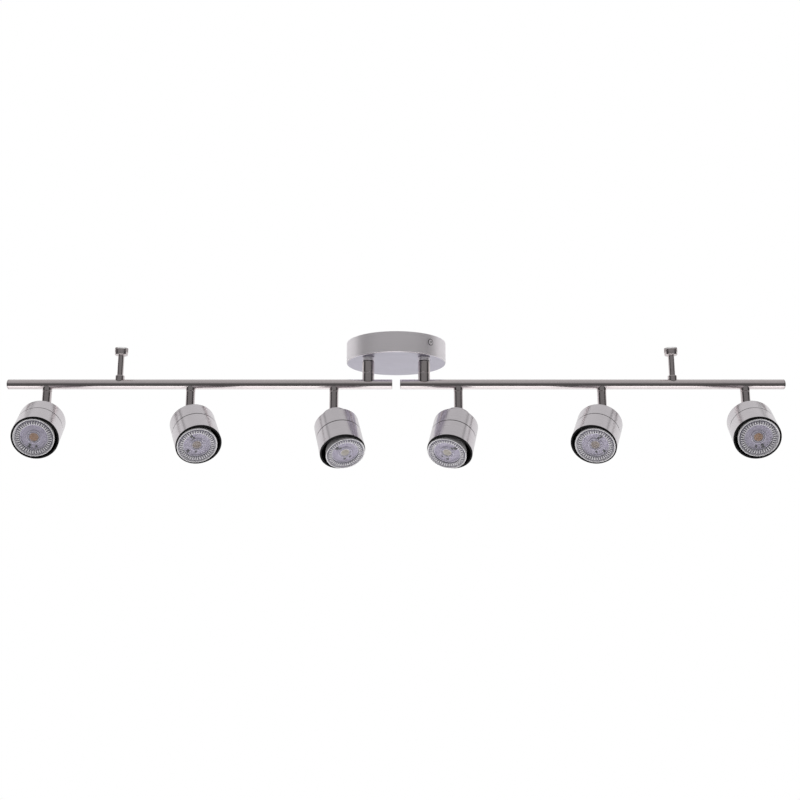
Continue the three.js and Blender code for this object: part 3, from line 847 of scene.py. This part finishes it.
def make_bar(name, side):
    """The tube with its drilled holes, and a cap in each end."""
    body = f"{name}_arm"
    bar_axis = at(0, POST_Y, -BAR_DROP) @ turn_about("Y", 90 * side)
    start = BAR_START + END_CAP_T + GAP
    length = BAR_END - END_CAP_T - GAP - start
    tube = grown(BAR_TUBE, "bar", BAR_NICKEL, Length=length, Middle_Radius=BAR_R - BAR_WALL / 2,
                 Wall=BAR_WALL, Sides=72)
    tube.transform(at(0, 0, start))
    tools = [rod(WIRE_R, 0, 2 * BAR_R, axis="X", middle=(0, 0, POST_X)),
             rod(SUPPORT_ROD_R + GAP, 0, 2 * BAR_R, axis="X", middle=(0, 0, SUPPORT_X))]
    heads = [j["pos_m"][0] / MM for j in frame["joints"] if j["name"].endswith("_pan")]
    for x in heads:
        if x * side > 0:
            tools.append(rod(STEM_BORE_R, -2 * BAR_R, 0, axis="X", middle=(0, 0, abs(x))))
    # the bar's own X points down on the right arm
    upright = turn_about("Z", 0 if side < 0 else 180)
    tube = cut_mesh(mended(tube), [moved(tool, upright) for tool in tools])
    piece(f"{name}_bar_tube", body, tube, BAR_NICKEL, place=bar_axis, stands_for=[f"{name}_bar"])
    plug = BAR_R - BAR_WALL - GAP
    cap = [(0, -END_CAP_T - END_CAP_PLUG, 0), (plug, -END_CAP_T - END_CAP_PLUG, 0.5), (plug, -END_CAP_T, 0),
           (BAR_R, -END_CAP_T, 0.15), (BAR_R, 0, 0.7), (0, 0, 0)]
    for end, place in (("inner", at(0, 0, BAR_START) @ turn_about("X", 180)), ("outer", at(0, 0, BAR_END))):
        mesh = closed_mesh("cap", turned(cap, sides=64))
        piece(f"{name}_{end}_plug", body, mesh, BAR_NICKEL, place=bar_axis @ place,
              stands_for=[f"{name}_{end}_end_cap"])


def make_swivel_post(name, side):
    """The turning barrel, with a spigot up into the fixed collar and a saddle over the bar."""
    top = COLLAR_BOTTOM - SWIVEL_GAP
    groove = top - POST_BARREL_H
    bottom = -BAR_DROP + BAR_R - POST_SADDLE
    deep = POST_R - POST_GROOVE
    barrel = turned([
        (WIRE_R, bottom, 0), (POST_R, bottom, 0), (POST_R, groove - POST_GROOVE, 0.45),
        (deep, groove - POST_GROOVE, 0), (deep, groove, 0), (POST_R, groove, 0.45),
        (POST_R, top - SHADED_SWIVEL_NECK, 0.3), (deep, top - SHADED_SWIVEL_NECK, 0), (deep, top, 0.1),
        (SPIGOT_R, top, 0.2), (SPIGOT_R, top + SPIGOT_H, 0.3), (WIRE_R, top + SPIGOT_H, 0.3),
    ], sides=72, closed=True)
    saddle = rod(SADDLE_R, -2 * POST_R, 2 * POST_R, axis="X", middle=(0, 0, -BAR_DROP), sides=96)
    mesh = cut_mesh(closed_mesh("post", barrel), [saddle])
    # The narrow neck under the fixed collar is painted black: painted shade in the swivel's gap.
    piece(f"{name}_swivel_post", f"{name}_arm", mesh, [BAR_NICKEL, BLACK_AND_PAINTED_SHADE], place=at(side * POST_X, POST_Y),
          stands_for=[f"{name}_arm_post"],
          pick=lambda normal, middle: int(top - SHADED_SWIVEL_NECK < middle.z < top + 0.01))


def make_support(name, side):
    """The collar on the bar, and the rod that rises out of it with its knurled grip."""
    place = at(side * SUPPORT_X, POST_Y)
    bore = SUPPORT_ROD_R + GAP
    guide = turned([(bore, 0, 0), (SUPPORT_COLLAR_R, 0, 0), (SUPPORT_COLLAR_R, SUPPORT_COLLAR_TOP, 0.8),
                    (bore, SUPPORT_COLLAR_TOP, 0.3)], sides=56, closed=True)
    saddle = rod(SADDLE_R, -2 * BAR_R, 2 * BAR_R, axis="X", sides=96)
    mesh = cut_mesh(closed_mesh("guide", guide), [saddle])
    piece(f"{name}_support_guide", f"{name}_arm", mesh, BAR_NICKEL, place=place @ at(0, 0, -BAR_DROP),
          stands_for=[f"{name}_support_collar"])

    rod_end = -BAR_DROP - math.sqrt((BAR_R - BAR_WALL) ** 2 - SUPPORT_ROD_R ** 2) + 2 * GAP
    top, under = -SUPPORT_TOP, -SUPPORT_TOP - SUPPORT_CAP_H
    core = SUPPORT_CAP_R - 0.25
    post = turned([
        (0, rod_end, 0), (SUPPORT_ROD_R, rod_end, 0.5), (SUPPORT_ROD_R, under, 0.4),
        (core, under, 0.9), (core, top, 0.9), (SUPPORT_CAP_R - 2, top, 0.2),
        (SUPPORT_CAP_R - 2.4, top - 0.4, 0.2), (0, top - 0.4, 0),
    ], sides=64)
    piece(f"{name}_support_rod", f"{name}_support", closed_mesh("support", post), BAR_NICKEL,
          place=place, stands_for=[f"{name}_support_post"])
    knurl = grown(RING_OF_RIDGES, "knurl", BAR_NICKEL, Count=56, Radius=core - 0.05,
                  Height=top - SUPPORT_CAP_H / 2, Ridge_Size=(0.6, 0.55, SUPPORT_CAP_H - 2.6))
    piece(f"{name}_support_grip", f"{name}_support", knurl, BAR_NICKEL, place=place)


# ---------- heads ----------

def joint(name):
    return next(j for j in frame["joints"] if j["name"] == name)


def largest_flat_face(node):
    """Middle and normal, in metres, of the largest flat face of a CAD node."""
    mesh = frame["nodes"][node].data
    faces = {}
    for face in mesh.polygons:
        key = tuple(round(c, 2) for c in face.normal)
        faces.setdefault(key, []).append(face)
    best = max(faces.values(), key=lambda group: sum(f.area for f in group))
    area = sum(f.area for f in best)
    middle = sum((f.center * f.area for f in best), Vector()) / area
    normal = sum((f.normal * f.area for f in best), Vector()).normalized()
    return middle, normal


def stem_place(number):
    """The panning frame of a head: its pivot upright, and the same turned so that X lies along the pin."""
    tilt = joint(f"head_{number}_tilt")
    axis = Vector(tilt["axis"])
    upright = at(*(Vector(tilt["pos_m"]) / MM))
    return upright, upright @ Matrix.Rotation(math.atan2(axis.y, axis.x) + math.pi, 4, "Z")


def make_stem(number):
    """The collar under the bar, and the stem that turns in it, with its tongue and rivet."""
    name = f"head_{number}"
    upright, panned = stem_place(number)
    arm = "left_arm" if upright.translation.x < 0 else "right_arm"
    bore = SPIGOT_R + GAP
    collar = turned([(bore, STEM_COLLAR_BOTTOM, 0.2), (STEM_COLLAR_R, STEM_COLLAR_BOTTOM, 0.45),
                     (STEM_COLLAR_R, PIVOT_DROP, 0), (bore, PIVOT_DROP, 0)], sides=64, closed=True)
    saddle = rod(SADDLE_R, -2 * BAR_R, 2 * BAR_R, axis="X", middle=(0, 0, PIVOT_DROP), sides=96)
    piece(f"{name}_bar_collar", arm, cut_mesh(closed_mesh("collar", collar), [saddle]), BAR_NICKEL,
          place=upright, stands_for=[f"{name}_stem_collar"])

    top = STEM_COLLAR_BOTTOM - SWIVEL_GAP
    tube = turned([
        (0, STEM_SHOULDER, 0), (STEM_R, STEM_SHOULDER, 0.8), (STEM_R, top, 0.45), (SPIGOT_R, top, 0.2),
        (SPIGOT_R, STEM_SPIGOT_TOP, 0.3), (STEM_BORE_R, STEM_SPIGOT_TOP, 0.2),
        (STEM_BORE_R, STEM_SHOULDER + 3, 0.2), (0, STEM_SHOULDER + 3, 0),
    ], sides=64)
    tongue = closed_mesh("tongue", eye_plate(EAR_R, TONGUE_T, STEM_SHOULDER + 0.5), bevel=0.35)
    head, end = RIVET_HEAD_START, RIVET_HEAD_START + 1
    rivet = turned([
        (0, -end, 0), (RIVET_HEAD_R, -end, 0.7), (RIVET_HEAD_R, -head, 0.1), (RIVET_R, -head, 0),
        (RIVET_R, head, 0), (RIVET_HEAD_R, head, 0.1), (RIVET_HEAD_R, end, 0.7), (0, end, 0),
    ], sides=40)
    mesh = closed_mesh("stem", together(tube, shape_of(tongue), moved(rivet, turn_about("Y", 90))))
    piece(f"{name}_swivel_stem", f"{name}_yoke", mesh, BAR_NICKEL, place=panned,
          stands_for=[f"{name}_stem"])


def head_place(number):
    """The tilting frame of a head: its pivot, X along the pin, -Z towards the mouth."""
    tilted = joint(f"head_{number}_tilt")["range_deg"][0]
    return stem_place(number)[1] @ turn_about("X", tilted)


def make_back_shell(number):
    """The shell's back half, with its neck and the two ears that hold the rivet."""
    name = f"head_{number}"
    inner = SHELL_R - SHELL_WALL
    neck_inner = NECK_R - NECK_WALL
    neck_floor = -NECK_BACK - NECK_WALL
    shell_floor = -SHELL_BACK - SHELL_WALL
    back = turned([
        (SHELL_R, -SEAM, 0.12), (SHELL_R, -SHELL_BACK, 1.5), (NECK_R, -SHELL_BACK, 0.6),
        (NECK_R, -NECK_BACK, 1.2), (WIRE_R, -NECK_BACK, 0.3), (WIRE_R, neck_floor, 0.2),
        (neck_inner, neck_floor, 0.5), (neck_inner, shell_floor, 0.3), (inner, shell_floor, 0.8),
        (inner, -SEAM, 0.12),
    ], sides=120, closed=True)
    shapes = [back]
    hole = rod(RIVET_R + GAP, -NECK_R, NECK_R, axis="X", sides=32)
    for side in (-1, 1):
        ear = closed_mesh("ear", eye_plate(EAR_R, EAR_T, -NECK_BACK - NECK_WALL / 2), bevel=0.3)
        ear.transform(at(side * EAR_MIDDLE, 0, 0))
        shapes.append(shape_of(cut_mesh(mended(ear), [hole])))

    # Faces inside the shell are black paint; the faces at the seam groove are black as painted shade, which
    # draws the dark seam line.
    def black_inside_or_seam_shade(normal, middle):
        spread = math.hypot(middle.x, middle.y)
        facing_in = normal.x * middle.x + normal.y * middle.y < -0.5 * spread
        in_shaded_seam = abs(middle.z + SEAM + SEAM_WIDTH / 2) < SEAM_WIDTH and spread < SHELL_R - 0.2
        return int(middle.z < neck_floor and (facing_in or in_shaded_seam))

    piece(f"{name}_back_shell", f"{name}_spot", closed_mesh("back shell", together(*shapes)),
          [NICKEL, BLACK_AND_PAINTED_SHADE], place=head_place(number), stands_for=[f"{name}_rear_shell"],
          pick=black_inside_or_seam_shade)


def make_sleeve_and_ring(number):
    """The front sleeve, with a lip that slides into the back shell, and the black ring at its mouth."""
    name, spot, place = f"head_{number}", f"head_{number}_spot", head_place(number)
    inner = SHELL_R - SHELL_WALL
    front, back_edge = -MOUTH + RING_FLANGE + GAP, -SEAM - SEAM_WIDTH
    lip = inner - GAP
    sleeve = turned([
        (SHELL_R, front, 0.1), (SHELL_R, back_edge, 0.25), (lip, back_edge, 0.1),
        (lip, -SEAM + 4, 0.2), (lip - 1, -SEAM + 4, 0.2), (lip - 1, back_edge - 1, 0.2),
        (inner, back_edge - 2, 0.2), (inner, front, 0.1),
    ], sides=120, closed=True)
    # Faces inside the sleeve are black paint; this also makes the lip and edge seen in the seam groove black,
    # which is painted shade.
    piece(f"{name}_sleeve", spot, closed_mesh("sleeve", sleeve), [NICKEL, BLACK_AND_PAINTED_SHADE], place=place,
          stands_for=[f"{name}_front_sleeve"],
          pick=lambda normal, middle: int(math.hypot(middle.x, middle.y) < SHELL_R - 0.2))

    ring_inner, skirt = LAMP_R + 1.3, inner - GAP
    flange, skirt_end = -MOUTH + RING_FLANGE, -MOUTH + RING_SKIRT
    ring = turned([
        (ring_inner, -MOUTH, 0.2), (SHELL_R, -MOUTH, 0.3), (SHELL_R, flange, 0.1),
        (skirt, flange, 0.05), (skirt, skirt_end, 0.2), (ring_inner, skirt_end, 0.2),
    ], sides=120, closed=True)
    piece(f"{name}_mouth_ring", spot, closed_mesh("ring", ring), BLACK_AND_PAINTED_SHADE, place=place,
          stands_for=[f"{name}_front_ring"])


def make_lampholder(number):
    name = f"head_{number}"
    front, back = -HOLDER_FRONT, -HOLDER_FRONT + HOLDER_H
    narrow = HOLDER_R - 1.5
    holder = turned([
        (0, front, 0), (HOLDER_R, front, 0.6), (HOLDER_R, back - 5, 0.4),
        (narrow, back - 5, 0.3), (narrow, back, 0.8), (0, back, 0),
    ], sides=72)
    sockets = []
    for side in (-1, 1):
        sockets.append(rod(LAMP_PIN_R + 1, front - 1, front + 7, middle=(side * LAMP_PIN_X, 0, 0), sides=32))
    mesh = cut_mesh(closed_mesh("holder", holder), sockets)
    piece(f"{name}_lamp_socket", f"{name}_spot", mesh, CERAMIC, place=head_place(number),
          stands_for=[f"{name}_lampholder"])


def lamp_place(number):
    """The lamp's own frame: its face at 0 looking along -Z, leaning as its CAD solid does."""
    middle, normal = largest_flat_face(f"head_{number}_lamp")
    place = head_place(number)
    up = -normal
    side = (place.to_3x3() @ Vector((1, 0, 0)))
    across = (side - up * side.dot(up)).normalized()
    turn = Matrix((across, up.cross(across), up)).transposed().to_4x4()
    return at(*(middle / MM)) @ turn


def make_lamp_body(number):
    """The white cup with its board at the bottom, and the two pins of its base."""
    name = f"head_{number}"
    shade, shade_r = BOARD_DROP + 0.4, BOARD_R + 0.2
    base, end = LAMP_LENGTH, LAMP_LENGTH + LAMP_PIN_H
    cup = turned([
        (0, BOARD_DROP, 0), (BOARD_R, BOARD_DROP, 0.1), (shade_r, shade, 0.1), (BEZEL_R - 1.4, shade, 0.3),
        (BEZEL_R - 0.2, 0.4, 0.2), (RIM_R - 0.8, 0, 0.3), (RIM_R, 0, 0.5), (RIM_R, 1.8, 0.3),
        (BEZEL_R, 2.1, 0.2), (BEZEL_R, 8.3, 1.5), (LAMP_BASE_R, base - LAMP_BASE_H, 2.0),
        (LAMP_BASE_R, base, 1.0), (0, base, 0),
    ], sides=120)
    pin = turned([(0, base - 0.5, 0), (1.4, base - 0.5, 0), (1.4, base + 4, 0.1), (LAMP_PIN_R, base + 4, 0.2),
                  (LAMP_PIN_R, end, 0.5), (0, end, 0)], sides=24)
    pins = [moved(pin, at(side * LAMP_PIN_X, 0, 0)) for side in (-1, 1)]

    def cup_board_pin_or_shade(normal, middle):
        spread = math.hypot(middle.x, middle.y)
        if middle.z > base + 0.02 and spread < LAMP_PIN_X + LAMP_PIN_R + 1.6:
            return 2
        if middle.z < BOARD_DROP - 0.4 or spread > BEZEL_R - 1 or normal.z > -0.5:
            return 0
        # beyond the board, down in the cup, the faces get the painted shade
        return 3 if spread > BOARD_R + 0.1 else 1

    piece(f"{name}_lamp_body", f"{name}_spot", closed_mesh("lamp", together(cup, *pins)),
          [LAMP_WHITE, BOARD, ZINC, BOARD_SHADE], place=lamp_place(number), stands_for=[f"{name}_lamp"],
          pick=cup_board_pin_or_shade)


def make_lens(number):
    """The clear front, the ribs round its edge and the rings moulded behind it."""
    name, spot, place = f"head_{number}", f"head_{number}_spot", lamp_place(number)
    ribs = grown(RING_OF_RIDGES, "ribs", LAMP_WHITE, Count=RIBS, Radius=RIBS_R,
                 Height=LENS_DROP + 0.35, Ridge_Size=(4.4, 1.55, -1.0))
    piece(f"{name}_lens_ribs", spot, ribs, LAMP_WHITE, place=place)

    rings = []
    for middle, width, rise in ((16.2, 1.2, 0.8), (8.2, 0.9, 1.4), (6.4, 0.8, 1.6)):
        low, high = middle - width / 2, middle + width / 2
        top = BOARD_DROP - rise
        rings.append(turned([(low, BOARD_DROP + 0.1, 0), (high, BOARD_DROP + 0.1, 0), (high, top, 0.25),
                             (low, top, 0.25)], sides=96, closed=True))
    piece(f"{name}_lens_rings", spot, closed_mesh("rings", together(*rings)), LENS_RINGS, place=place)

    lens = turned([
        (0, LENS_DROP + 1.3, 0), (BEZEL_R - 0.45, LENS_DROP + 1.3, 0.1), (BEZEL_R - 0.3, LENS_DROP, 0.3),
        (17.0, LENS_DROP, 0.3), (16.6, LENS_DROP + 0.25, 0.2), (9.0, LENS_DROP + 0.25, 0.3),
        (8.0, LENS_DROP - 0.1, 0.5), (5.0, LENS_DROP - 0.55, 2.0), (0, LENS_DROP - 0.65, 0),
    ], sides=96)
    piece(f"{name}_clear_lens", spot, closed_mesh("lens", lens), LENS, place=place)


def make_board_parts(number, chip_finish, parts):
    """The light chip and the small dark parts on the lamp's board."""
    name, spot, place = f"head_{number}", f"head_{number}_spot", lamp_place(number)
    sunk = BOARD_DROP + 0.1
    chip = turned([(0, sunk, 0), (CHIP_R, sunk, 0), (CHIP_R, BOARD_DROP - 0.7, 0.3),
                   (CHIP_R - 0.7, BOARD_DROP - 0.9, 0.3), (0, BOARD_DROP - 1.1, 0)], sides=64)
    piece(f"{name}_light_chip", spot, closed_mesh("chip", chip), chip_finish, place=place)

    bits = []
    for radius, angle, size in parts:
        bit = block((*size, 1.1), (0, 0, BOARD_DROP - 0.5))
        bits.append(moved(bit, turn_about("Z", angle) @ at(radius, 0, 0)))
    piece(f"{name}_small_parts", spot, closed_mesh("bits", together(*bits), bevel=0.12), DARK_PARTS_AND_RECESS_SHADE,
          place=place)


# The chips are all alike: these three copies of one phosphor colour paint in the lens's reflection and shade
# at each head's angle, deepest on the outer heads and palest on the middle ones.
CHIP_PAINTED_DEEP = phosphor("chip painted deep", (0.34, 0.16, 0.06), (0.42, 0.30, 0.24))
CHIP_PAINTED_MIDDLE = phosphor("chip painted middle", (0.28, 0.21, 0.17), (0.42, 0.37, 0.36))
CHIP_PAINTED_PALE = phosphor("chip painted pale", (0.42, 0.37, 0.31), (0.68, 0.65, 0.64))

# (radius, angle from the rivet, size) of the dark parts on each board, from the outer heads inwards
PARTS = {
    1: ((13.2, 65, (5.2, 3.0)), (12.8, 100, (2.6, 2.0))),
    2: ((9.8, -58, (3.0, 2.2)), (14.0, -50, (4.0, 2.8)), (10.4, 95, (2.8, 2.2)), (13.6, 50, (3.6, 2.4))),
    3: ((8.8, -38, (2.6, 2.2)), (13.2, -26, (4.6, 3.2)), (10.0, 100, (4.0, 2.8)), (9.6, 140, (2.8, 2.4))),
}
CHIPS = {1: CHIP_PAINTED_DEEP, 2: CHIP_PAINTED_MIDDLE, 3: CHIP_PAINTED_PALE}


make_canopy_cover()
make_bracket()
make_cover_screws()
make_post_collars()
make_wiring_parts()
for arm_name, arm_side in (("left", -1), ("right", 1)):
    make_bar(arm_name, arm_side)
    make_swivel_post(arm_name, arm_side)
    make_support(arm_name, arm_side)
for head_number in range(1, 7):
    make_stem(head_number)
    make_back_shell(head_number)
    make_sleeve_and_ring(head_number)
    make_lampholder(head_number)
    make_lamp_body(head_number)
    make_lens(head_number)
    # heads in the same place on the two arms have the same lamp, mirrored
    kind = min(head_number, 7 - head_number)
    mirrored = -1 if head_number < 4 else 1
    small_parts = [(radius, 90 + mirrored * (angle - 90), size) for radius, angle, size in PARTS[kind]]
    # each head's chip colour is a painted copy for the lens's reflection and shade at its angle
    make_board_parts(head_number, CHIPS[kind], small_parts)


# ---------- floor, light and camera ----------

def make_floor():
    """A pale floor far below, which runs out into the white of the backdrop."""
    mesh = bpy.data.meshes.new("floor")
    low, left, right, near, far = -2.4, -3.2, 3.2, -1.4, 4.2
    corners = [(left, near, low), (right, near, low), (right, far, low), (left, far, low)]
    mesh.from_pydata(corners, [], [(0, 1, 2, 3)])
    floor = linked("floor", mesh)
    made, tree, shader = blank_finish("pale floor", Roughness=0.8)
    soft = noise_node(tree, object_place(tree), 2.0, 3.0)
    tree.links.new(mixed(tree, soft, (0.86, 0.86, 0.86), (0.9, 0.9, 0.9)), shader.inputs["Base Color"])
    offset = tree.nodes.new("ShaderNodeVectorMath")
    offset.operation = "DISTANCE"
    offset.inputs[1].default_value = (0, (near + far) / 2, low)
    tree.links.new(object_place(tree), offset.inputs[0])
    glow = tree.nodes.new("ShaderNodeEmission")
    blend = tree.nodes.new("ShaderNodeMixShader")
    tree.links.new(range_node(tree, offset.outputs["Value"], 1.3, 2.6, 0.0, 1.0), blend.inputs[0])
    tree.links.new(shader.outputs[0], blend.inputs[1])
    tree.links.new(glow.outputs[0], blend.inputs[2])
    tree.links.new(blend.outputs[0], tree.nodes["Material Output"].inputs["Surface"])
    mesh.materials.append(made)


def soft_light(name, place, aim, size, power):
    light = bpy.data.lights.new(name, "AREA")
    light.shape = "RECTANGLE"
    light.size, light.size_y = size
    light.energy = power
    holder = linked(name, light)
    holder.visible_camera = False
    holder.location = place
    holder.rotation_euler = (Vector(aim) - Vector(place)).to_track_quat("-Z", "Y").to_euler()


def make_studio():
    """A white backdrop, with the softer and darker sides of a studio in the reflections."""
    world = bpy.data.worlds.new("studio")
    bpy.context.scene.world = world
    world.use_nodes = True
    tree = world.node_tree
    background = tree.nodes["Background"]
    x, y, z = separate_xyz(tree, tree.nodes.new("ShaderNodeTexCoord").outputs["Generated"])
    front = range_node(tree, z, 0.08, 0.6, 0.12, 0.62)
    back = range_node(tree, z, 0.6, 0.9, 0.86, 0.70)
    turn = range_node(tree, y, -0.15, 0.25, 0.0, 1.0)
    front_part = math_node(tree, "MULTIPLY", front, math_node(tree, "SUBTRACT", 1.0, turn))
    both = math_node(tree, "MULTIPLY_ADD", back, turn, front_part)
    # the unlit sides of the room, low down and towards the viewer
    side = range_node(tree, math_node(tree, "ABSOLUTE", x), 0.7, 0.9, 0.0, 1.0)
    low = range_node(tree, z, 0.3, 0.6, 1.0, 0.0)
    near = range_node(tree, y, 0.1, 0.25, 0.85, 0.0)
    dark = math_node(tree, "MULTIPLY", math_node(tree, "MULTIPLY", side, low), near)
    lit = math_node(tree, "MULTIPLY", both, math_node(tree, "SUBTRACT", 1.0, dark))
    # the dark gap between the side panels and the overhead one
    from_gap = math_node(tree, "ABSOLUTE", math_node(tree, "SUBTRACT", z, 0.70))
    total = math_node(tree, "MULTIPLY", lit, range_node(tree, from_gap, 0.012, 0.05, 0.42, 1.0))
    seen = tree.nodes.new("ShaderNodeLightPath").outputs["Is Camera Ray"]
    mix = tree.nodes.new("ShaderNodeMix")
    tree.links.new(seen, mix.inputs["Factor"])
    tree.links.new(total, mix.inputs["A"])
    mix.inputs["B"].default_value = 1.0
    tree.links.new(mix.outputs[0], background.inputs["Strength"])
    background.inputs["Color"].default_value = (1, 1, 1, 1)
    bpy.context.scene.view_settings.view_transform = "Standard"


def make_camera():
    """In front of the fixture and below it, looking up."""
    data = bpy.data.cameras.new("camera")
    camera = linked("camera", data)
    rise = math.radians(12.36)
    aim, distance = Vector((0, 0, -0.060)), 1.336
    forward = Vector((0, math.cos(rise), math.sin(rise)))
    camera.location = aim - forward * distance
    camera.rotation_euler = forward.to_track_quat("-Z", "Y").to_euler()
    data.sensor_width = 36.0
    data.lens = 45.314
    data.shift_x = 0.00481
    data.shift_y = -0.01494
    bpy.context.scene.camera = camera


make_floor()
make_studio()
make_camera()
soft_light("floor wash", (0, 1.2, -0.9), (0, 1.2, -2.4), (3.0, 3.0), 60)
soft_light("low front", (0, -0.62, -1.35), (0, -0.25, -0.1), (2.6, 0.7), 6.5)
